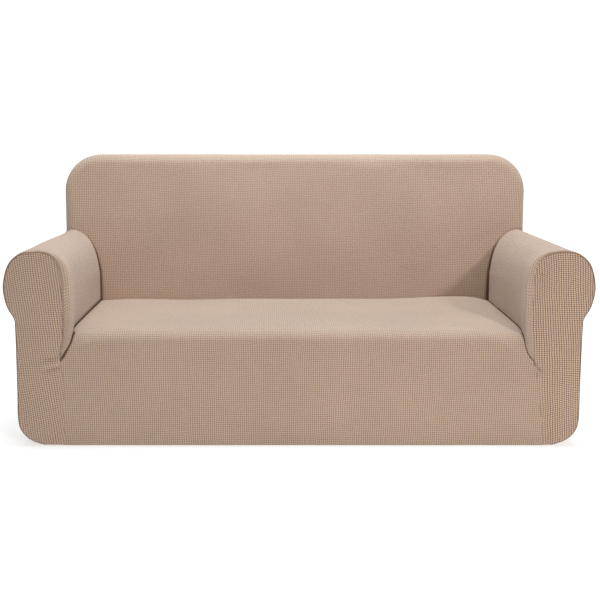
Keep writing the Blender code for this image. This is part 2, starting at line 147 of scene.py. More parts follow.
# One arm in section, above the straight part of its inner wall, from the inside outwards. The
# last two say how much of the lip and of RIGHT_ROLL_IN each row takes.
ARM_SECTION = (
    # place                front_x front_z back_x  back_z  lip   roll_in
    ("inner wall, high", 0.7950, 0.560, 0.8050, 0.500, 1.00, 1.00),
    ("inner shoulder", 0.7990, 0.612, 0.8135, 0.555, 0.90, 1.00),
    ("round of the roll", 0.8120, 0.646, 0.8260, 0.600, 0.70, 0.90),
    ("inner top", 0.8360, 0.668, 0.8480, 0.640, 0.40, 0.60),
    ("top", 0.8720, 0.677, 0.8800, 0.667, 0.20, 0.20),
    ("crown", 0.9040, 0.676, 0.9080, 0.676, 0.15, 0.00),
    ("outer top", 0.9360, 0.664, 0.9370, 0.669, 0.12, 0.00),
    ("outer shoulder", 0.9650, 0.638, 0.9650, 0.640, 0.10, 0.00),
    ("scroll, high", 0.9830, 0.597, 0.9830, 0.597, 0.08, 0.00),
    ("scroll, widest", 0.9910, 0.545, 0.9900, 0.545, 0.05, 0.00),
    ("scroll, low", 0.9810, 0.489, 0.9800, 0.489, 0.02, 0.00),
    ("under the scroll", 0.9605, 0.449, 0.9620, 0.449, 0.00, 0.00),
    ("outer wall", 0.9585, 0.420, 0.9595, 0.420, 0.00, 0.00),
    ("outer wall, low", 0.9640, 0.210, 0.9640, 0.210, 0.00, 0.00),
    ("bottom corner", 0.9675, 0.092, 0.9675, 0.092, 0.00, 0.00),
    ("bottom round", 0.9555, 0.047, 0.9555, 0.047, 0.00, 0.00),
    ("bottom, under", 0.9230, 0.015, 0.9230, 0.015, 0.00, 0.00),
    ("hem", 0.8800, 0.000, 0.8800, 0.000, 0.00, 0.00),
)
CROWN_ROW, SCROLL_ROW = 5, 8

# Low hills and hollows of the seat deck. They fade out beside its sides and at its front edge.
SEAT_WAVES = (
    # x      y      reach_x reach_y height
    (0.670, 0.130, 0.170, 0.090, 0.015),
    (-0.440, 0.140, 0.180, 0.080, -0.004),
    (-0.250, -0.080, 0.300, 0.160, -0.004),
    (0.330, -0.120, 0.260, 0.150, -0.003),
)
WAVES_FADE, WAVES_FADE_Z = 0.048, 0.008

# Soft ridges (height above 0) and troughs (below 0) in the cloth, each along a straight line.
# At its ends a line keeps the height that it has CREASE_TIP of its length further in.
CREASE_TIP = 0.04
CREASES = (
    # x0     y0      z0     x1     y1      z1     width  height
    (-0.802, -0.442, 0.302, -0.884, -0.448, 0.288, 0.0075, 0.0075),
    (-0.810, -0.442, 0.320, -0.880, -0.448, 0.308, 0.0085, -0.0050),
    (-0.808, -0.442, 0.282, -0.870, -0.448, 0.270, 0.0070, -0.0050),
    (-0.796, -0.440, 0.318, -0.776, -0.444, 0.252, 0.0080, -0.0036),
    (-0.780, -0.440, 0.330, -0.752, -0.444, 0.268, 0.0080, 0.0030),
    (0.788, -0.444, 0.324, 0.801, -0.445, 0.305, 0.0034, -0.0060),
    (0.798, -0.444, 0.302, 0.809, -0.445, 0.280, 0.0032, -0.0060),
    (0.804, -0.444, 0.314, 0.820, -0.445, 0.276, 0.0045, 0.0060),
    (0.783, -0.444, 0.310, 0.803, -0.445, 0.270, 0.0045, 0.0056),
    (0.814, -0.444, 0.284, 0.826, -0.445, 0.262, 0.0032, -0.0040),
    (0.806, -0.444, 0.274, 0.820, -0.445, 0.250, 0.0034, 0.0036),
    (0.798, -0.442, 0.618, 0.824, -0.448, 0.606, 0.0032, 0.0034),
    (0.797, -0.442, 0.608, 0.822, -0.448, 0.596, 0.0030, -0.0024),
    (0.796, -0.442, 0.598, 0.820, -0.448, 0.585, 0.0032, 0.0034),
    (0.796, -0.442, 0.588, 0.818, -0.448, 0.576, 0.0030, -0.0022),
    (0.826, -0.444, 0.150, 0.836, -0.445, 0.096, 0.0050, -0.0010),
    (-0.790, -0.438, 0.395, -0.700, -0.300, 0.400, 0.0180, -0.0020),
    (0.770, -0.438, 0.392, 0.690, -0.300, 0.400, 0.0180, -0.0020),
)

# Low waves of the whole cloth: how many radians each metre, and how high.
DRIFT = (
    # along_x along_y along_z start height
    (9.0, 5.0, 7.0, 0.4, 0.0011),
    (17.0, -8.0, 12.0, 2.1, 0.0007),
    (-6.0, 13.0, 19.0, 4.0, 0.0006),
)
EDGE_DRIFT = 0.25  # how much of them the tight edge of the back keeps
DRIFT_FADE = 0.02  # so far beside seams and hem they are faded out

# ---------------- how finely it is drawn
STEP, SKIRT_STEP, FRONT_ROW_STEP = 0.012, 0.006, 0.005
SEAM_LINES = np.array([0.0, 0.7, 1.6, 2.7, 4.1, 6.0, 8.6, 12.2, 17.0]) / 1000  # beside a seam
ROLL_FINENESS = 1.3  # the columns over an arm's roll are closer together
EDGE_STEPS, BACK_EDGE_STEPS, SEAT_EDGE_STEPS = 8, 10, 9  # in a quarter circle
FRONT_ROW_POWER = 0.9  # the rows of an arm front are wider apart near the hem
FRONT_TOP_HALF = 0.045  # the last row follows its outline so far to each side of the top
# Columns are laid out over about the panel's width, with a step, and then spread over it.
FRONT_WIDTH, SEAT_COLUMNS, REAR_COLUMNS = 0.15, (1.6, 0.013), (1.9, 0.03)
TINY = 1e-12  # keeps a length that is divided by above 0
FAR = 1.0  # a distance out of the reach of every seam
LEFT, RIGHT = -1, 1


# ---------------- curves
def smooth_curve(points, per_span=24):
    """Catmull-Rom curve through the rows of points, with its parameter: whole numbers lie on
    the rows themselves."""
    p = np.vstack([2 * points[0] - points[1], points, 2 * points[-1] - points[-2]])
    spans = len(points) - 1
    s = np.linspace(0, spans, spans * per_span + 1)
    i = np.minimum(s.astype(int), spans - 1)
    t = (s - i)[:, None]
    a, b, c, d = p[i], p[i + 1], p[i + 2], p[i + 3]
    curve = 0.5 * (2 * b + (c - a) * t + (2 * a - 5 * b + 4 * c - d) * t**2
                   + (3 * b - a - 3 * c + d) * t**3)
    return s, curve


def run_of(curve):
    """Length from a line's start to each of its points, the sum of the steps between them."""
    steps = np.linalg.norm(np.diff(curve, axis=0), axis=-1)
    return np.concatenate([np.zeros_like(steps[:1]), np.cumsum(steps, axis=0)])


def at(s, curve, wanted):
    """The curve's points at the wanted parameters."""
    return np.stack([np.interp(wanted, s, column) for column in curve.T], axis=-1)


def falloff(value, low, high):
    """1 below low and 0 above high, with a soft slope 1 - 3tt + 2ttt between."""
    t = np.clip((value - low) / (high - low), 0, 1)
    return 1 - t * t * (3 - 2 * t)


def lines(length, step=STEP, start=True, end=True):
    """Distances from 0 to length for grid lines: close together at an end that is a seam, and
    even steps between."""
    low = SEAM_LINES if start else SEAM_LINES[:1]
    high = length - (SEAM_LINES if end else SEAM_LINES[:1])[::-1]
    count = max(int(round((high[0] - low[-1]) / step)), 1)
    return np.concatenate([low[:-1], np.linspace(low[-1], high[0], count + 1), high[1:]])


def turn_in(distance, width):
    """1 at a seam and 0 from width on: a quarter of an ellipse, upright at the seam."""
    t = np.clip(1 - distance / width, 0, 1)
    return 1 - np.sqrt(1 - t**2)


def trough(distance, width):
    """1 at a line, fading beside it as exp(-(distance / width) squared)."""
    return np.exp(-((distance / width) ** 2))


def rolled(distance, radius):
    """How far a rolled edge of that radius has turned back at a distance from the old corner:
    radius - sqrt(radius^2 - (radius - distance)^2), nothing beyond the radius."""
    t = np.clip(1 - distance / radius, 0, 1)
    return radius * (1 - np.sqrt(1 - t**2))


def beside(points, line):
    """Distance of every point from a bent line: the least over its straight pieces of the
    distance to the nearest point of the piece. Also gives where along the line that is."""
    start, step = line[:-1], np.diff(line, axis=0)
    flat = points.reshape(-1, 1, line.shape[1])
    t = np.clip(((flat - start) * step).sum(-1) / np.maximum((step**2).sum(-1), TINY), 0, 1)
    away = np.linalg.norm(flat - start - step * t[..., None], axis=-1)
    nearest = away.argmin(axis=1)
    rows = np.arange(len(nearest))
    shape = points.shape[:-1]
    return away[rows, nearest].reshape(shape), (nearest + t[rows, nearest]).reshape(shape)


# ---------------- shared seams
def hem_tuck(z):
    """How far the elastic draws a front or rear panel in, at height z."""
    return HEM_TUCK * np.clip(1 - z / HEM_TUCK_Z, 0, 1) ** 2


def seam_x(side, z):
    """Distance from the middle of the seam between skirt and arm front, at height z, on a
    smooth curve through the table."""
    table = np.stack([SEAM_Z, SEAM_LEFT if side == LEFT else SEAM_RIGHT], axis=1)
    curve = smooth_curve(table)[1]
    return np.interp(z, curve[:, 0], curve[:, 1])


def back_y(x, z):
    """The inside back: a leaning plane, crowned forwards in its middle by
    (1 - (x / half)^2) sin(pi up)."""
    up = np.clip((z - SEAT_Z) / (BACK_TOP_Z - SEAT_Z), 0, 1)
    crown = BACK_CROWN * (1 - (x / BACK_HALF) ** 2) * np.sin(np.pi * up)
    return BACK_Y + BACK_LEAN * (z - SEAT_Z) - crown


def arm_curves():
    """The arm's section at its front and at the back, and its lip and roll-in weights, all
    over one parameter."""
    rows = np.array([row[1:] for row in ARM_SECTION])
    s, front = smooth_curve(rows[:, 0:2])
    back = smooth_curve(rows[:, 2:4])[1]
    weights = smooth_curve(rows[:, 4:6])[1]
    return s, front, back, weights[:, 0], weights[:, 1]


def outer_roll():
    """The outer side of the roll at the back, where x grows: parameters, x and z."""
    s, _, back, _, _ = arm_curves()
    widening = (s >= CROWN_ROW) & (s <= SCROLL_ROW)
    return s[widening], back[widening, 0], back[widening, 1]


def edge_insets(steps):
    """How far the round edge of the back stands in from its side, and how far back it is: a
    quarter circle from the face to the side."""
    angle = np.linspace(np.pi / 2, 0, steps + 1)
    return BACK_EDGE_R * (1 - np.cos(angle)), BACK_EDGE_R * (1 - np.sin(angle))


def arm_columns():
    """Columns across an arm: parts of the inner wall's height, then parameters of the section
    over the roll, round the back's edge and down to the hem, with the numbers of the columns
    where the back's face ends and where its side is reached."""
    s, _, back, _, _ = arm_curves()
    outer_s, outer_x, _ = outer_roll()
    edge = np.interp(BACK_HALF - edge_insets(EDGE_STEPS)[0], outer_x, outer_s)
    run = run_of(back)
    wall = ARM_SECTION[0][2] - SEAT_Z
    up = lines(wall, end=False)[:-1] / wall
    first, last = np.interp([edge[0], edge[-1]], s, run)
    roll = np.interp(np.linspace(0, first, int(first / STEP * ROLL_FINENESS) + 1), run, s)
    outer = np.interp(last + lines(run[-1] - last), run, s)
    face_edge = len(up) + len(roll) - 1
    return up, np.concatenate([roll, edge[1:-1], outer]), face_edge, face_edge + EDGE_STEPS


def crease_height(y):
    """The crease round the seat: level along the deck, then down a quarter of an ellipse to
    the seam of the arm front. Gives its height and how far round it is."""
    t = np.clip((y - FRONT_Y) / SEAT_EDGE_R, 0, 1)
    rise = np.sqrt(1 - (1 - t) ** 2)
    return SEAT_CORNER_Z + (SEAT_Z - SEAT_CORNER_Z) * rise, rise


def lip_weights():
    """How much of the padded lip each column across an arm takes: all of it on the inner wall,
    less and less over the roll."""
    s, _, _, weight, _ = arm_curves()
    up, take, _, _ = arm_columns()
    return np.concatenate([np.ones(len(up)), np.interp(take, s, weight)])


def arm_lip(side, y, rise):
    """How far an arm's padded front edge stands in over the seat: it swells above the seat's
    corner as 1 - (1 - rise)^turn, and fades as 1 / (1 + (distance / LIP_FADE)^2) from the
    front."""
    past = np.maximum(y - FRONT_Y - SEAT_EDGE_R, 0)
    lip, turn = (LIP_LEFT, LIP_TURN_LEFT) if side == LEFT else (LIP_RIGHT, LIP_TURN_RIGHT)
    return lip * (1 - (1 - rise) ** turn) / (1 + (past / LIP_FADE) ** 2)


def crease_share(y):
    """The crease is deepest along the seat and runs out at the arm front."""
    return 1 - falloff(y, FRONT_Y + CLOTH, FRONT_Y + 3 * SEAT_EDGE_R)


def crease_x(side, y):
    """Distance from the middle of the crease between seat and arm, at depth y."""
    z, rise = crease_height(y)
    part = (y - FRONT_Y) / (BACK_Y - FRONT_Y)
    back = ARM_SECTION[0][3]
    return seam_x(side, z) * (1 - part) + back * part - arm_lip(side, y, rise)


def normals_across(section):
    """Normals of a section in its own plane: the direction along it, turned by a quarter."""
    along = np.gradient(section, axis=-2)
    along /= np.maximum(np.linalg.norm(along, axis=-1, keepdims=True), TINY)
    return np.stack([-along[..., 1], along[..., 0]], axis=-1)


def arm_sections(side, part, y):
    """Sections across an arm, rows x columns x (x, z): the blend of its front and back
    sections, with the lip added along the normal, on an inner wall that stands in the crease."""
    s, front, back, _, roll_in = arm_curves()
    up, take, _, _ = arm_columns()
    crease_z, rise = crease_height(y)
    lip = arm_lip(side, y, rise)[:, None]
    f, b = at(s, front, take), at(s, back, take)
    if side == RIGHT:
        f[:, 0] -= np.interp(take, s, roll_in) * RIGHT_ROLL_IN
    rough = f + (b - f) * part[:, None, None]
    if side == LEFT:
        near_front = np.exp(-np.maximum(y - FRONT_Y, 0) / TOP_DIP_FADE)
        above = np.where(f[:, 1] > SEAM_Z[-1], trough(f[:, 0] - TOP_DIP_X, TOP_DIP_WIDTH), 0.0)
        rough[..., 1] -= TOP_DIP * above * near_front[:, None]
    rough += normals_across(rough) * (lip_weights()[len(up):] * lip)[..., None]
    foot = (crease_z + GAP - CREASE_DEPTH * crease_share(y))[:, None]
    z = foot + (rough[:, :1, 1] - foot) * up
    x = seam_x(side, z) * (1 - part[:, None]) + back[0, 0] * part[:, None] - lip
    top = seam_x(side, rough[:, 0, 1]) * (1 - part) + back[0, 0] * part - lip[:, 0]
    x += (rough[:, 0, 0] - top)[:, None] * up**WALL_EASE_POWER
    return np.concatenate([np.stack([x, z], axis=-1), rough], axis=1)


def back_end_y(section):
    """Where each point of an arm's last section meets the back: on its face, then round its
    edge, and level with the edge's end from there on."""
    _, _, face_edge, junction = arm_columns()
    x, z = section.T
    y = back_y(x, z)
    y[face_edge:junction + 1] += edge_insets(EDGE_STEPS)[1]
    y[junction + 1:] = y[junction]
    return y


def roll_radius():
    """The round of the seam between an arm's front and its wrap, for each column: nothing
    where the padded lip starts level with the front, and SEAM_ROLL where there is no lip."""
    return np.maximum(SEAM_ROLL * (1 - lip_weights()), SHARP)


def front_shade(side):
    """How much painted shade that seam gets, for each column: a clear line over the roll, and a
    faint one down the inner side."""
    inner = INNER_SEAM_SHADE_LEFT if side == LEFT else INNER_SEAM_SHADE_RIGHT
    return TOP_SEAM_SHADE + (inner - TOP_SEAM_SHADE) * lip_weights()


# ---------------- the relief on a panel
def outward(grid, flip):
    """Normals of a grid: the cross product of the directions down its columns and along its
    rows, turned round unless flip is set."""
    n = np.cross(np.gradient(grid, axis=0), np.gradient(grid, axis=1))
    n /= np.maximum(np.linalg.norm(n, axis=-1, keepdims=True), TINY)
    return n if flip else -n


def creases(grid):
    """The ridges and troughs of CREASES at every point: each fades beside its line, and as a half
    sine towards its two ends. Also gives the painted shade in the narrow troughs."""
    total, dark = np.zeros(grid.shape[:-1]), np.zeros(grid.shape[:-1])
    for x0, y0, z0, x1, y1, z1, width, height in CREASES:
        line = np.array([(x0, y0, z0), (x1, y1, z1)])
        away, along = beside(grid, line)
        share = trough(away, width) * np.sin(np.pi * np.clip(along, CREASE_TIP, 1 - CREASE_TIP))
        total += height * share
        dark += FOLD_SHADE * max(-height / width - FOLD_START, 0.0) * share
    return total, dark


def drift(grid):
    """Low waves of the whole cloth: sines of a sum of the three coordinates."""
    total = np.zeros(grid.shape[:-1])
    for kx, ky, kz, start, height in DRIFT:
        total += height * np.sin(grid @ np.array([kx, ky, kz]) + start)
    return total


def hem_band(run):
    """The doubled hem stands a little proud, with a stitched line at its top. run is the
    distance from the hem's edge."""
    band = HEM_PROUD * falloff(run, HEM_HEIGHT - HEM_STEP, HEM_HEIGHT + HEM_STEP)
    return band - HEM_LINE * HEM_PROUD * trough(run - HEM_HEIGHT, HEM_LINE_WIDTH)


def dressed(grid, normals, height, fade, sway=1.0):
    """The grid moved along its normals by the given relief, by the creases, and by the drift,
    which is faded out at the seams and hem and lowered by sway."""
    free = sway * (1 - trough(fade, DRIFT_FADE))
    relief = height + drift(grid) * free + creases(grid)[0]
    return grid + normals * relief[..., None]


def side_crease_shade(z):
    """How dark the painted shade in the creases between the arms and the back is: it fades up over
    the roll.
    """
    return CREASE_SHADE * (CREASE_END_SHARE + (1 - CREASE_END_SHARE) * falloff(z, *CREASE_END_Z))


def shading(*seams):
    """The painted shade at every point: the most that any of its seams gives, each of them stated
    as its distance, strength and reach."""
    return np.maximum.reduce([strength * falloff(away, *reach) for away, strength, reach in seams])


# ---------------- building a sheet
def add_object(name, data):
    """An object of the given data, in the scene."""
    obj = bpy.data.objects.new(name, data)
    bpy.context.scene.collection.objects.link(obj)
    return obj


def smooth_object(name, points, cells, material):
    """An object of one smooth mesh."""
    mesh = bpy.data.meshes.new(name)
    mesh.from_pydata(points.tolist(), [], cells.tolist())
    mesh.shade_smooth()
    mesh.materials.append(material)
    return add_object(name, mesh)


def grid_cells(rows, columns):
    """The cells of a grid, each as the numbers of its four corners."""
    corner = np.arange(rows * columns).reshape(rows, columns)
    return np.stack([corner[:-1, :-1], corner[1:, :-1], corner[1:, 1:], corner[:-1, 1:]], -1)


def cloth_sheet(name, grid, across, along, seam, opened, material, keep=None, flip=False):
    """A thin sheet from its outer face. grid is rows x columns x 3; across and along are the
    cloth's own coordinates in metres, for its check; seam is the painted shade of its seams,
    creases and troughs, opened how far its knit is pulled open, and keep tells which cells are
    cloth."""
    cells = grid_cells(*grid.shape[:2])
    cells = cells.reshape(-1, 4) if keep is None else cells[keep]
    if flip:
        cells = cells[:, ::-1]
    used, cells = np.unique(cells, return_inverse=True)
    cells = cells.reshape(-1, 4)
    obj = smooth_object(name, grid.reshape(-1, 3)[used], cells, material)
    mesh = obj.data
    uv = np.stack([across.reshape(-1)[used], along.reshape(-1)[used]], axis=-1)
    layer = mesh.uv_layers.new(name="cloth")
    layer.uv.foreach_set("vector", uv[cells.reshape(-1)].astype(np.float32).reshape(-1))
    # the seam attribute holds the painted shade
    for label, value in (("seam", seam), ("open", np.broadcast_to(opened, seam.shape))):
        layer = mesh.attributes.new(label, "FLOAT", "POINT")
        layer.data.foreach_set("value", value.reshape(-1)[used].astype(np.float32))
    wall = obj.modifiers.new("cloth", "SOLIDIFY")
    wall.thickness = CLOTH
    wall.offset = -1
    return obj


# ---------------- the panels
def arm_wrap(name, side, material):
    """Inner side, roll and outer side of an arm. Rows run from the arm front to the back's
    crease, and behind it only the columns outside the back's side go on to the rear."""
    _, _, face_edge, junction = arm_columns()
    depth = lines(BACK_Y - FRONT_Y) / (BACK_Y - FRONT_Y)
    section = arm_sections(side, depth, FRONT_Y + depth * (BACK_Y - FRONT_Y))
    number = np.arange(section.shape[1])
    radius = roll_radius()
    tuck = hem_tuck(section[-1, :, 1])
    start = FRONT_Y + tuck + EDGE_START * radius + GAP
    deep = BACK_TUCK * falloff(number, face_edge, junction)
    last = back_end_y(section[-1]) - GAP + deep
    y = start + (last - start) * depth[:, None]

    end = REAR_Y - tuck - EDGE_START * SEAM_ROLL - GAP
    back_run = lines((end - last)[junction], start=False)
    rear = last + (end - last) * (back_run / back_run[-1])[1:, None]
    y = np.vstack([y, rear])
    section = np.concatenate([section, np.repeat(section[-1:], len(rear), axis=0)])
    inset = rolled(y - FRONT_Y - tuck, radius) + rolled(REAR_Y - tuck - y, SEAM_ROLL)
    section = section - normals_across(section) * inset[..., None]
    grid = np.stack([side * section[..., 0], y, section[..., 1]], axis=-1)

    split = len(depth)
    from_front = run_of(grid)
    to_rear = end - y
    to_back = np.abs(y - last) + np.where(number < junction, 0.0, FAR)
    to_crease = run_of(grid.swapaxes(0, 1)).T
    to_hem = to_crease[:, -1:] - to_crease
    to_side = np.where(np.arange(len(y))[:, None] >= split - 1,
                       np.abs(to_crease - to_crease[:, junction:junction + 1]), FAR)
    dip = SEAM_DIP * (1 - lip_weights())
    relief = -dip * trough(from_front, SEAM_DIP_WIDTH) - SEAM_DIP * trough(to_rear, SEAM_DIP_WIDTH)
    relief -= BACK_TUCK * turn_in(to_back, BACK_TUCK_WIDTH)
    relief -= BACK_TUCK * turn_in(to_side, BACK_TUCK_WIDTH)
    relief -= FOOT_TUCK * turn_in(to_crease, FOOT_TUCK_WIDTH)
    relief += hem_band(to_hem)
    nearest = np.minimum.reduce([from_front, to_rear, to_back, to_crease, to_side, to_hem])
    left = side == LEFT
    in_sight = to_crease - BURIED * CREASE_DEPTH * crease_share(y[:, :1])
    # painted shade along the seams and in the creases of the wrap
    dark = shading((from_front, front_shade(side), SEAM_REACH),
                   (to_rear, TOP_SEAM_SHADE, SEAM_REACH), (to_side, TOP_SEAM_SHADE, SEAM_REACH),
                   (to_back / (WIDE_BACK_LEFT if left else WIDE_BACK_RIGHT),
                    side_crease_shade(grid[..., 2]), NEAR_REACH),
                   (in_sight / (WIDE_LEFT if left else WIDE_RIGHT), CREASE_SHADE, NEAR_REACH))
    grid = dressed(grid, outward(grid, left), relief, nearest)
    keep = np.ones((len(y) - 1, grid.shape[1] - 1), bool)
    keep[split - 1:, :junction] = False
    along = np.broadcast_to(run_of(section[split // 2]), y.shape)
    near_front = trough(from_front, LIP_OPEN_REACH) * falloff(grid[..., 2], *LIP_OPEN_Z)
    own = OPEN_LEFT_FRONT if left else OPEN_WRAP
    opened = OPEN_WRAP + (own - OPEN_WRAP) * near_front
    return cloth_sheet(name, grid, from_front, along, dark, opened, material, keep, flip=left)


def front_outline(side, inset):
    """The edge of an arm front from the hem up its inner side, over the roll and down its
    outer side to the hem, moved in by inset times the round of its seam. Gives that round and
    the seam's shade too."""
    section = arm_sections(side, np.zeros(1), np.array([FRONT_Y]))[0]
    low_z = lines(SEAT_CORNER_Z, start=False)[:-1]
    low = np.stack([seam_x(side, low_z), low_z], axis=1)
    outline = np.vstack([low, section])
    radius = np.concatenate([np.full(len(low), SHARP), roll_radius()])
    skirt = SKIRT_SEAM_SHADE_LEFT if side == LEFT else SKIRT_SEAM_SHADE_RIGHT
    shade = np.concatenate([np.full(len(low), skirt), front_shade(side)])
    return outline - normals_across(outline) * (inset * radius)[:, None], radius, shade


def front_rows(x, z, inner_x):
    """The knit's own height on an arm front: z, and above ROLL_Z more and more the distance
    from the middle of the roll, so that the rows arch over it; at the foot they tilt."""
    arched = 1 - falloff(z, ROLL_Z, ROLL_Z + ROLL_REACH)
    over = np.maximum(z - ROLL_Z, 0)
    rise = np.sqrt(over**2 + arched * (x - ROLL_X) ** 2) - over
    return z + rise + ROW_TILT * falloff(z, *ROW_TILT_Z) * (x - inner_x)


def arm_front(name, side, material):
    """The flat scroll-shaped panel: straight rows between its inner and outer edge, bowed up
    towards the roll's top, crowned as sin(pi across) sqrt(sin(pi up))."""
    whole, radius, shade = front_outline(side, 0.0)
    edge, _, _ = front_outline(side, EDGE_START)
    run = run_of(edge)
    top = np.argmax(edge[:, 1])
    inner_end, outer_end = run[top] - FRONT_TOP_HALF, run[top] + FRONT_TOP_HALF
    rows = lines(1.0, FRONT_ROW_STEP, start=False) ** FRONT_ROW_POWER
    inner = at(run, edge, rows * inner_end)
    outer = at(run, edge, run[-1] - rows * (run[-1] - outer_end))
    across = lines(FRONT_WIDTH) / FRONT_WIDTH
    flat = inner[:, None] + (outer - inner)[:, None] * across[None, :, None]
    bow = at(run, edge, inner_end + (outer_end - inner_end) * across) - flat[-1]
    up = rows[:, None]
    flat += bow[None] * up[..., None] ** FRONT_BOW_POWER
    crown = ARM_FRONT_CROWN * np.sin(np.pi * across) * np.sqrt(np.maximum(np.sin(np.pi * up), 0))
    away, where = beside(flat, whole)
    round_it = np.interp(where, np.arange(len(radius)), radius)
    y = FRONT_Y + hem_tuck(flat[..., 1]) - crown + rolled(away, round_it)
    grid = np.stack([side * flat[..., 0], y, flat[..., 1]], axis=-1)
    to_seam, where = beside(flat, edge)
    dip = SEAM_DIP * np.interp(where, np.arange(len(radius)), radius / SEAM_ROLL)
    relief = -dip * trough(to_seam, SEAM_DIP_WIDTH) + hem_band(flat[..., 1])
    # painted shade along the seam round the front
    dark = shading((to_seam, np.interp(where, np.arange(len(shade)), shade), SEAM_REACH))
    # and painted shade in the troughs of the puckers
    dark = np.maximum(dark, creases(grid)[1])
    own = OPEN_LEFT_FRONT if side == LEFT else OPEN_RIGHT_FRONT
    alike = trough(flat[..., 0] - inner[:, None, 0], SKIRT_SEAM_FADE)
    alike *= falloff(flat[..., 1], SEAT_CORNER_Z, SEAT_Z)
    opened = own + (OPEN_SKIRT - own) * alike
    grid = dressed(grid, np.array([0.0, -1.0, 0.0]), relief, np.minimum(to_seam, grid[..., 2]))
    wide = (grid[..., 0] + COLUMN_LEAN * grid[..., 2]) / FRONT_STRETCH
    along = front_rows(flat[..., 0], flat[..., 1], inner[:, None, 0])
    return cloth_sheet(name, grid, wide, along, dark, opened, material, flip=side == RIGHT)


def seat_rows():
    """Rows of the seat: depth along the deck, angle over the front edge, and height down the
    skirt, as three lists."""
    deck = BACK_Y - GAP - lines(BACK_Y - GAP - FRONT_Y - SEAT_EDGE_R, end=False)
    angle = np.linspace(0, np.pi / 2, SEAT_EDGE_STEPS + 1)[1:]
    low = lines(SEAT_CORNER_Z, SKIRT_STEP, start=False, end=False)[::-1][1:]
    return deck, angle, low


def seat_side(side):
    """The seat's side edge: along the crease, over the front edge as a quarter of an ellipse,
    then down the seam to the hem."""
    deck, angle, low = seat_rows()
    y = np.concatenate([deck, FRONT_Y + SEAT_EDGE_R * (1 - np.sin(angle))])
    x = np.concatenate([crease_x(side, y), seam_x(side, low)])
    z = np.concatenate([crease_height(y)[0], low])
    y = np.concatenate([y, FRONT_Y + hem_tuck(low)])
    return np.stack([x - GAP, y, z], axis=1)


def seat_middle():
    """The seat's section in the middle: deck, round front edge, and skirt down to the hem."""
    deck, angle, low = seat_rows()
    forward = (deck[0] - deck) / (deck[0] - deck[-1])
    rise = SEAT_FRONT_RISE - SEAT_REAR_RISE
    deck_z = SEAT_Z + SEAT_REAR_RISE + rise * np.sin(forward * np.pi / 2)
    top, edge = deck_z[-1], deck[-1]
    reach = edge - FRONT_Y + SKIRT_CROWN
    hang = SKIRT_CROWN * low / SEAT_CORNER_Z
    y = np.concatenate([deck, edge - reach * np.sin(angle), FRONT_Y - hang + hem_tuck(low)])
    z = np.concatenate([deck_z, top - SEAT_EDGE_R * (1 - np.cos(angle)),
                        low / SEAT_CORNER_Z * (top - SEAT_EDGE_R)])
    return y, z


def seat_waves(x, y, z):
    """The unevenness of the deck, fading to nothing at the crease round it and down the
    front."""
    sides = 1 - falloff(SEAM_LEFT.min() - np.abs(x), 0.0, WAVES_FADE)
    on_deck = sides * (1 - falloff(z, SEAT_Z - WAVES_FADE_Z, SEAT_Z))
    total = np.zeros_like(x)
    for centre_x, centre_y, reach_x, reach_y, height in SEAT_WAVES:
        away = ((x - centre_x) / reach_x) ** 2 + ((y - centre_y) / reach_y) ** 2
        total += height * np.exp(-away)
    return total * on_deck


def seat_and_skirt(name, material):
    """The seat deck with the front skirt. Columns near a side follow its edge, and the others
    the middle's section, with exp(-(inside / CORNER_FADE)^2) between them."""
    left, right = seat_side(LEFT), seat_side(RIGHT)
    y_mid, z_mid = seat_middle()
    near = lines(*SEAT_COLUMNS)
    share = near / near[-1]
    width = left[:, :1] + right[:, :1]
    x = width * share - left[:, :1]
    inside = width * np.minimum(share, 1 - share)
    at_left = share < 0.5
    edge_y = np.where(at_left, left[:, 1:2], right[:, 1:2])
    edge_z = np.where(at_left, left[:, 2:3], right[:, 2:3])
    follow = np.exp(-((inside / CORNER_FADE) ** 2))
    y = y_mid[:, None] + (edge_y - y_mid[:, None]) * follow
    z = z_mid[:, None] + (edge_z - z_mid[:, None]) * follow
    z += seat_waves(x, y, z)
    grid = np.stack([x, y, z], axis=-1)
    deep = crease_share(edge_y)
    grid[..., 2] -= CREASE_DEPTH * deep * turn_in(inside, CREASE_WIDTH)
    to_back = run_of(grid)
    grid[..., 2] -= CREASE_DEPTH * turn_in(to_back, CREASE_WIDTH)
    to_hem = run_of(grid)[-1:] - run_of(grid)
    relief = hem_band(to_hem) - FLAT_SEAM_DIP * trough(inside, FLAT_SEAM_WIDTH) * (1 - deep)
    skirt = np.where(at_left, SKIRT_SEAM_SHADE_LEFT, SKIRT_SEAM_SHADE_RIGHT)
    in_crease = 1 - falloff(edge_z, *CREASE_OUT_Z)
    wide = np.where(at_left, WIDE_LEFT, WIDE_RIGHT)
    # painted shade along the seams, in the creases and in the troughs of the puckers
    dark = shading((inside, skirt * (1 - in_crease), SEAM_REACH),
                   (inside / wide, CREASE_SHADE * in_crease, NEAR_REACH),
                   (to_back, CREASE_SHADE, NEAR_REACH), (0.0, creases(grid)[1], SEAM_REACH))
    nearest = np.minimum.reduce([inside, to_back, to_hem])
    grid = dressed(grid, outward(grid, True), relief, nearest)
    opened = OPEN_DECK + (OPEN_SKIRT - OPEN_DECK) * falloff(grid[..., 2], *DECK_FADE_Z)
    along = run_of(grid[..., 1:])  # columns also slide sideways, which the knit doesn't follow
    return cloth_sheet(name, grid, x, along - along[-1:], dark, opened, material, flip=True)


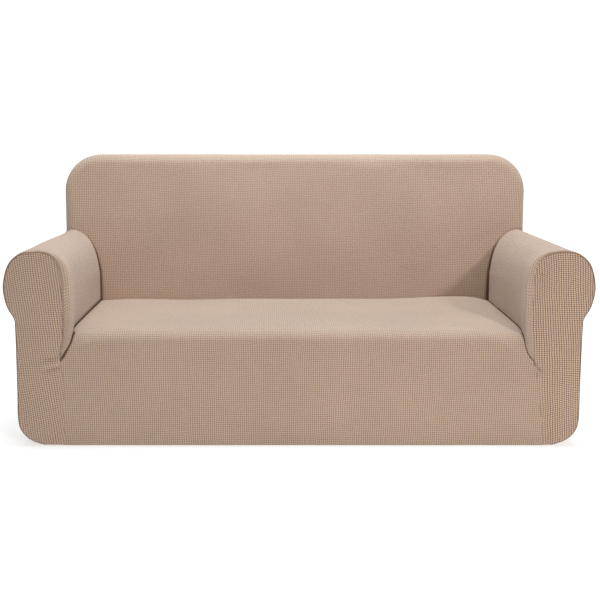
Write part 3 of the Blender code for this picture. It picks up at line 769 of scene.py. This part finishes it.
def arch(inset, sides=10, corners=16, top=110):
    """The outline of the back above the arms, set in by inset, from the left arm over the top
    to the right arm: straight sides, quarter circles and a straight top. Also gives the
    direction that points out of it."""
    _, outer_x, outer_z = outer_roll()
    half, high, radius = BACK_HALF - inset, BACK_TOP_Z - inset, BACK_CORNER_R - inset
    foot = np.interp(half, outer_x, outer_z) + GAP
    rise = BACK_TOP_Z - BACK_CORNER_R - foot
    side_z = foot + lines(rise, rise / sides, end=False)
    angle = np.linspace(0, np.pi / 2, corners + 1)[1:]
    centre_x, centre_z = BACK_HALF - BACK_CORNER_R, BACK_TOP_Z - BACK_CORNER_R
    x = np.concatenate([np.full(len(side_z), half), centre_x + radius * np.cos(angle)])
    z = np.concatenate([side_z, centre_z + radius * np.sin(angle)])
    out = np.concatenate([np.zeros(len(side_z)), angle])
    top_x = np.linspace(-centre_x, centre_x, top + 1)[1:-1]
    line = np.stack([np.concatenate([-x, top_x, x[::-1]]),
                     np.concatenate([z, np.full(len(top_x), high), z[::-1]])], axis=1)
    turned = np.concatenate([np.pi - out, np.full(len(top_x), np.pi / 2), out[::-1]])
    return line, np.stack([np.cos(turned), np.sin(turned)], axis=1)


def rear_drop(y, z):
    """The top of the back falls a little towards the rear."""
    high = 1 - falloff(z, BACK_TOP_Z - BACK_CORNER_R, BACK_TOP_Z - BACK_EDGE_R)
    t = np.clip((y - REAR_DROP_START_Y) / (REAR_Y - REAR_DROP_START_Y), 0, 1)
    return BACK_REAR_DROP * t**2 * high


def shares(points):
    """How far along its length each point of a line lies, from 0 to 1."""
    run = run_of(points)
    return run / run[-1]


def back_face():
    """The face of the inside back as a patch between four lines: the arch above, the seat's
    crease below, and the two arms at its sides. Each point is the sum of the blends across and
    along, less the blend of the four corners."""
    above = arch(BACK_EDGE_R)[0]
    _, _, face_edge, _ = arm_columns()
    arm = arm_sections(RIGHT, np.ones(1), np.array([BACK_Y]))[0][:face_edge + 1][::-1].copy()
    run = run_of(arm)
    arm = at(run, arm, lines(run[-1], start=False))
    arm[:-1, 0] -= GAP
    arm[:, 1] += GAP
    arm[0] = above[-1]
    right, left = arm, arm * (-1, 1)
    u, v = shares(above)[None, :, None], shares(arm)[:, None, None]
    below = left[-1] + (right[-1] - left[-1]) * u[0]
    patch = (1 - v) * above[None] + v * below[None] + (1 - u) * left[:, None] + u * right[:, None]
    corners = ((1 - u) * (1 - v) * above[0] + u * (1 - v) * above[-1]
               + (1 - u) * v * left[-1] + u * v * right[-1])
    return patch - corners


def inside_back(name, material):
    """The inside back, its face and the round edge that runs on over top and sides. The first
    rows lie at the rear and the last at the seat."""
    side, out = arch(0)
    inset, behind = edge_insets(BACK_EDGE_STEPS)
    start = back_y(*side.T) + BACK_EDGE_R
    end = REAR_Y - EDGE_START * SEAM_ROLL - GAP
    back_run = lines(float(np.mean(end - start)), end=False)
    places, depths, beyond = [], [], []
    for t in 1 - (back_run / back_run[-1])[:-1]:
        y = start + (end - start) * t
        places.append(side - out * rolled(REAR_Y - y, SEAM_ROLL)[:, None])
        depths.append(y)
        beyond.append(BACK_EDGE_R * np.pi / 2 + (end - start) * t)
    for number, (inwards, back) in enumerate(zip(inset[::-1], behind[::-1])):
        line = arch(inwards)[0]
        places.append(line)
        depths.append(back_y(*line.T) + back)
        turn = np.pi / 2 * (1 - number / BACK_EDGE_STEPS)
        beyond.append(np.full(len(line), BACK_EDGE_R * turn))
    ring = len(places)
    face = back_face()[1:]
    place = np.concatenate([np.array(places), face])
    y = np.concatenate([np.array(depths), back_y(face[..., 0], face[..., 1])])
    grid = np.stack([place[..., 0], y, place[..., 1]], axis=-1)
    grid[..., 2] -= rear_drop(grid[..., 1], grid[..., 2])

    to_rear = run_of(grid)
    to_seat = to_rear[-1:] - to_rear
    to_left = run_of(grid.swapaxes(0, 1)).T
    to_right = to_left[:, -1:] - to_left
    to_side = np.minimum(to_left, to_right)
    relief = -SEAM_DIP * trough(to_rear, SEAM_DIP_WIDTH)
    relief -= BACK_TUCK * (turn_in(to_side, BACK_TUCK_WIDTH) + turn_in(to_seat, BACK_TUCK_WIDTH))
    nearest = np.minimum.reduce([to_rear, to_seat, to_side])
    wide = np.where(to_left < to_right, WIDE_BACK_LEFT, WIDE_BACK_RIGHT)
    # painted shade along the rear seam and in the creases at the seat and at the arms
    dark = shading((to_rear, TOP_SEAM_SHADE, SEAM_REACH), (to_seat, CREASE_SHADE, FAR_REACH),
                   (to_side / wide, side_crease_shade(grid[..., 2]), FAR_REACH))
    sway = np.where(np.arange(len(grid)) < ring, EDGE_DRIFT, 1.0)[:, None]
    grid = dressed(grid, outward(grid, False), relief, nearest, sway)
    grid[-1, :, 2] -= CREASE_DEPTH
    inner, inner_out = arch(BACK_EDGE_R)
    unrolled = inner[None] + inner_out[None] * np.array(beyond)[..., None]
    across, along = np.moveaxis(np.concatenate([unrolled, face]), -1, 0)
    opened = OPEN_BACK_SIDE * trough(BACK_HALF - np.abs(grid[..., 0]), BACK_SIDE_REACH)
    return cloth_sheet(name, grid, across, along, dark, opened, material)


def outside_back(name, material):
    """The outside back, flat, with the outline of the arms and of the back's top. Its rows run
    straight across, and its edge is rolled forwards to the seam round it."""
    _, _, _, junction = arm_columns()
    arm = arm_sections(RIGHT, np.ones(1), np.array([BACK_Y]))[0][junction:][::-1]
    above, _ = arch(0)
    above = above[len(above) // 2:][::-1]
    half = np.vstack([arm[:-1], above])
    whole = np.vstack([half, (half * (-1, 1))[::-1][1:]])
    start = EDGE_START * SEAM_ROLL
    edge = half + normals_across(half) * start
    top = edge[:, 1].max()
    heights = lines(top, start=False)
    side = edge[edge[:, 0] > BACK_HALF - BACK_CORNER_R]
    width = np.interp(heights, side[:, 1], side[:, 0])
    across = 2 * lines(*REAR_COLUMNS) / REAR_COLUMNS[0] - 1
    x = width[:, None] * across
    z = np.broadcast_to(heights[:, None], x.shape).copy()
    z -= rear_drop(REAR_Y, z)
    whole[:, 1] -= rear_drop(REAR_Y, whole[:, 1])
    flat = np.stack([x, z], axis=-1)
    away = beside(flat, whole)[0]
    y = REAR_Y - hem_tuck(z) - rolled(away, SEAM_ROLL)
    grid = np.stack([x, y, z], axis=-1)
    to_seam = away - start
    relief = -SEAM_DIP * trough(to_seam, SEAM_DIP_WIDTH) + hem_band(z)
    # painted shade along the seam round the outside back
    dark = shading((to_seam, TOP_SEAM_SHADE, SEAM_REACH))
    grid = dressed(grid, np.array([0.0, 1.0, 0.0]), relief, np.minimum(to_seam, z))
    return cloth_sheet(name, grid, -x, z, dark, OPEN_REAR, material)


# ---------------- the knit
SWAYS = ((6.0, 0.016), (60.0, 0.0022))  # its lines wander: scale of the noise, and metres
TONE_SCALE, FIBRE_SCALE, DETAIL = 3.0, 700.0, 3.0
NOISE_SPAN = (0.3, 0.7)  # nearly all of a noise lies in it
TONE, FIBRE_TONE, YARN_TONE = (0.96, 1.04), (0.92, 1.08), (0.78, 1.10)
ROW_LEVEL = 0.24  # of the grooves between the rows, on a knit that is fully open
SQUARE_FOOT, SQUARE_TOP, OPEN_SQUARE_TOP = 0.04, 0.62, 0.86  # on the hump that makes a square
LOOP_SLANT, LEG_LEVEL = 0.6, 0.55  # how far a loop slants, and how high it is between its legs
YARN_HEIGHT, FIBRE_HEIGHT, SQUARE_HEIGHT = 0.45, 0.25, 0.0010  # the last in metres
ROUGHNESS, GLOSS, FUZZ_ROUGHNESS = 0.9, 0.03, 0.5


def set_inputs(tree, node, **inputs):
    """Links or sets a node's inputs, given by name with _ for spaces, or by number after a _."""
    for key, value in inputs.items():
        socket = node.inputs[int(key[1:])] if key[0] == "_" else node.inputs[key.replace("_", " ")]
        if isinstance(value, bpy.types.NodeSocket):
            tree.links.new(value, socket)
        else:
            socket.default_value = value


def put(tree, kind, settings=None, **inputs):
    """A new node with its settings and its inputs."""
    node = tree.nodes.new(kind)
    for key, value in (settings or {}).items():
        setattr(node, key, value)
    set_inputs(tree, node, **inputs)
    return node


def math(tree, operation, *values):
    """The result of a Math node."""
    inputs = {f"_{number}": value for number, value in enumerate(values)}
    return put(tree, "ShaderNodeMath", {"operation": operation}, **inputs).outputs[0]


def wave(tree, place, pitch):
    """Humps in a row, one for each pitch: |sin(pi place / pitch)|."""
    return math(tree, "ABSOLUTE", math(tree, "SINE", math(tree, "MULTIPLY", place, np.pi / pitch)))


def noise(tree, place, scale):
    """A Noise Texture node on the given place."""
    return put(tree, "ShaderNodeTexNoise", _0=place, Scale=scale, Detail=DETAIL)


def ramp(tree, value, low, high, at_low=0.0, at_high=1.0, kind="LINEAR"):
    """A value carried from the range low to high to the range at_low to at_high."""
    return put(tree, "ShaderNodeMapRange", {"interpolation_type": kind}, Value=value,
               From_Min=low, From_Max=high, To_Min=at_low, To_Max=at_high).outputs[0]


def mixed(tree, share, first, second):
    """Two colours mixed by share."""
    node = put(tree, "ShaderNodeMix", {"data_type": "RGBA"}, _0=share, _6=first, _7=second)
    return node.outputs[2]


def knit(name):
    """Matt small-check knit: rounded squares with darker grooves between them, slanting loops of
    yarn all over, fibres, a slow drift of the tone, and painted shade, dark brown, in each seam
    and crease, where the sheen fades out too."""
    mat = bpy.data.materials.new(name)
    mat.use_nodes = True
    tree = mat.node_tree
    place = put(tree, "ShaderNodeUVMap", {"uv_map": "cloth"}).outputs[0]
    body = put(tree, "ShaderNodeTexCoord").outputs["Object"]
    for scale, shift in SWAYS:
        sway = noise(tree, body, scale).outputs["Color"]
        place = put(tree, "ShaderNodeVectorMath", {"operation": "MULTIPLY_ADD"},
                    _0=sway, _1=(shift, shift, 0.0), _2=place).outputs[0]
    axes = put(tree, "ShaderNodeSeparateXYZ", _0=place)
    across, along = axes.outputs[0], axes.outputs[1]
    fibre = noise(tree, body, FIBRE_SCALE).outputs[0]
    slow = noise(tree, body, TONE_SCALE).outputs[0]
    # the seam attribute holds painted shade, 0 to 1, along seams and in creases and troughs
    seam = put(tree, "ShaderNodeAttribute", {"attribute_name": "seam"}).outputs["Fac"]
    opened = put(tree, "ShaderNodeAttribute", {"attribute_name": "open"}).outputs["Fac"]

    rows = ramp(tree, wave(tree, along, CHECK_ALONG), 0.0, 1.0,
                math(tree, "MULTIPLY", opened, ROW_LEVEL))
    hump = math(tree, "MULTIPLY", wave(tree, across, CHECK_ACROSS), rows)
    top = ramp(tree, opened, 0.0, 1.0, SQUARE_TOP, OPEN_SQUARE_TOP)
    square = ramp(tree, hump, SQUARE_FOOT, top, kind="SMOOTHERSTEP")
    leg = wave(tree, across, CHECK_ACROSS / STITCHES)
    slant = math(tree, "MULTIPLY_ADD", leg, LOOP_SLANT * CHECK_ALONG / STITCHES, along)
    loop = wave(tree, slant, CHECK_ALONG / STITCHES)
    yarn = math(tree, "MULTIPLY", loop, ramp(tree, leg, 0.0, 0.5, LEG_LEVEL, 1.0))

    height = math(tree, "ADD", square, math(tree, "MULTIPLY", yarn, YARN_HEIGHT))
    height = math(tree, "ADD", height, math(tree, "MULTIPLY", fibre, FIBRE_HEIGHT))
    shade = math(tree, "MULTIPLY", ramp(tree, slow, *NOISE_SPAN, *TONE),
                 ramp(tree, fibre, *NOISE_SPAN, *FIBRE_TONE))
    shade = math(tree, "MULTIPLY", shade, ramp(tree, yarn, 0.0, 1.0, *YARN_TONE))
    raised = mixed(tree, opened, (*SQUARE, 1.0), (*OPEN_SQUARE, 1.0))
    sunk = mixed(tree, opened, (*GROOVE, 1.0), (*OPEN_GROOVE, 1.0))
    colour = mixed(tree, square, sunk, raised)
    colour = put(tree, "ShaderNodeVectorMath", {"operation": "SCALE"}, _0=colour, Scale=shade)
    # painted shade: towards a seam or crease the colour turns to the dark brown painted shadow
    # colour
    colour = mixed(tree, seam, colour.outputs[0], (*CREASE_SHADOW, 1.0))
    bump = put(tree, "ShaderNodeBump", Height=height, Distance=SQUARE_HEIGHT, Strength=1.0)
    # the sheen fades out in the painted shade, so that it stays dark
    sheen = ramp(tree, seam, 0.0, 0.5, SHEEN, 0.0)
    set_inputs(tree, tree.nodes["Principled BSDF"], Base_Color=colour, Normal=bump.outputs[0],
               Roughness=ROUGHNESS, Specular_IOR_Level=GLOSS, Sheen_Weight=sheen,
               Sheen_Roughness=FUZZ_ROUGHNESS, Sheen_Tint=WHITE)
    return mat


# ---------------- the studio
CAMERA_PLACE = (-0.0794, -3.1405, 1.0457)
CAMERA_DOWN = 11.1355  # degrees below level
FOCAL_PIXELS, IMAGE_PIXELS = 820.0, 600.0
MIDDLE_X, MIDDLE_Y = 275.46, 300.0
SENSOR = 36.0  # millimetres


def make_camera():
    """The photograph's viewing angle: its focal length and middle, in pixels of the image."""
    data = bpy.data.cameras.new("view")
    data.sensor_width = SENSOR
    data.lens = FOCAL_PIXELS / IMAGE_PIXELS * data.sensor_width
    data.shift_x = (IMAGE_PIXELS / 2 - MIDDLE_X) / IMAGE_PIXELS
    data.shift_y = (MIDDLE_Y - IMAGE_PIXELS / 2) / IMAGE_PIXELS
    camera = add_object("view", data)
    camera.location = CAMERA_PLACE
    camera.rotation_euler = (np.radians(90.0 - CAMERA_DOWN), 0.0, 0.0)
    bpy.context.scene.camera = camera


LIGHTS = (
    # name    x      y      z     width height power  colour; each is turned to LIT_POINT
    ("key", 2.13, -4.17, 2.30, 0.4, 0.4, 82.0, (1.0, 0.975, 0.975)),
    ("above", 0.00, -0.10, 3.20, 3.0, 1.2, 108.0, (0.860, 0.950, 1.0)),
)
LIT_POINT = (0.0, 0.0, 0.45)
FLOOR_Z, FLOOR_HALF, FLOOR_FRONT_Y = -0.0022, 12.0, -8.0
WALL_FOOT_Y, WALL_DEPTH, WALL_ROWS = 3.0, 3.0, 56
PAPER, PAPER_ROUGHNESS, PAPER_GLOSS = 0.65, 0.9, 0.1
WORLD = 0.28  # soft light from all round
GLOW = (0.50, 0.65)  # of the backlit floor in front, and of the wall behind it
GLOW_Y = (-1.0, 2.2)  # between these it grows


def area_light(name, x, y, z, width, height, power, colour):
    """A soft rectangular light, turned to LIT_POINT."""
    data = bpy.data.lights.new(name, "AREA")
    data.shape = "RECTANGLE"
    data.size, data.size_y = width, height
    data.energy, data.color = power, colour
    light = add_object(name, data)
    light.location = (x, y, z)
    away = np.array((x, y, z)) - np.array(LIT_POINT)
    flat = np.hypot(away[0], away[1])
    turn = np.arctan2(away[1], away[0]) + np.pi / 2
    light.rotation_euler = (np.arctan2(flat, away[2]), 0.0, turn)


def make_studio():
    """A pale backlit floor that curves up into a wall behind, a key light from the front right,
    and a wide soft light above. The floor is level up to WALL_FOOT_Y, and rises behind it as
    (y - WALL_FOOT_Y)^2."""
    x = np.array([-FLOOR_HALF, FLOOR_HALF])
    y = np.linspace(FLOOR_FRONT_Y, WALL_FOOT_Y + WALL_DEPTH, WALL_ROWS)
    z = FLOOR_Z + np.maximum(y - WALL_FOOT_Y, 0) ** 2
    grid = np.stack(np.broadcast_arrays(x[None], y[:, None], z[:, None]), axis=-1)
    mat = bpy.data.materials.new("pale_paper")
    mat.use_nodes = True
    tree = mat.node_tree
    place = put(tree, "ShaderNodeTexCoord").outputs["Object"]
    depth = put(tree, "ShaderNodeSeparateXYZ", _0=place).outputs[1]
    set_inputs(tree, tree.nodes["Principled BSDF"], Base_Color=(PAPER, PAPER, PAPER, 1.0),
               Roughness=PAPER_ROUGHNESS, Specular_IOR_Level=PAPER_GLOSS, Emission_Color=WHITE,
               Emission_Strength=ramp(tree, depth, *GLOW_Y, *GLOW))
    cells = grid_cells(*grid.shape[:2])[..., ::-1].reshape(-1, 4)
    smooth_object("backdrop", grid.reshape(-1, 3), cells, mat)

    world = bpy.data.worlds.new("studio")
    bpy.context.scene.world = world
    world.use_nodes = True
    tree = world.node_tree
    set_inputs(tree, tree.nodes["Background"], Color=WHITE, Strength=WORLD)
    for light in LIGHTS:
        area_light(*light)
    bpy.context.scene.view_settings.view_transform = "Standard"


def place_panel(obj, node):
    """Hangs a panel on the root body and hides the solid part that it stands for."""
    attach(obj, "root")
    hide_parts(node)


def main():
    """The seven panels of the cover, and the studio that they stand in."""
    make_camera()
    cloth, front, rear = knit("knit"), knit("knit_front"), knit("knit_rear")
    for label, side in (("left", LEFT), ("right", RIGHT)):
        place_panel(arm_front(f"cover_arm_front_{label}", side, front),
                    f"arm_front_{label}")
        place_panel(arm_wrap(f"cover_arm_wrap_{label}", side, cloth),
                    f"arm_wrap_{label}")
    place_panel(seat_and_skirt("cover_seat_and_skirt", cloth),
                "seat_and_skirt")
    place_panel(inside_back("cover_inside_back", cloth), "inside_back")
    place_panel(outside_back("cover_outside_back", rear),
                "outside_back")
    make_studio()


main()
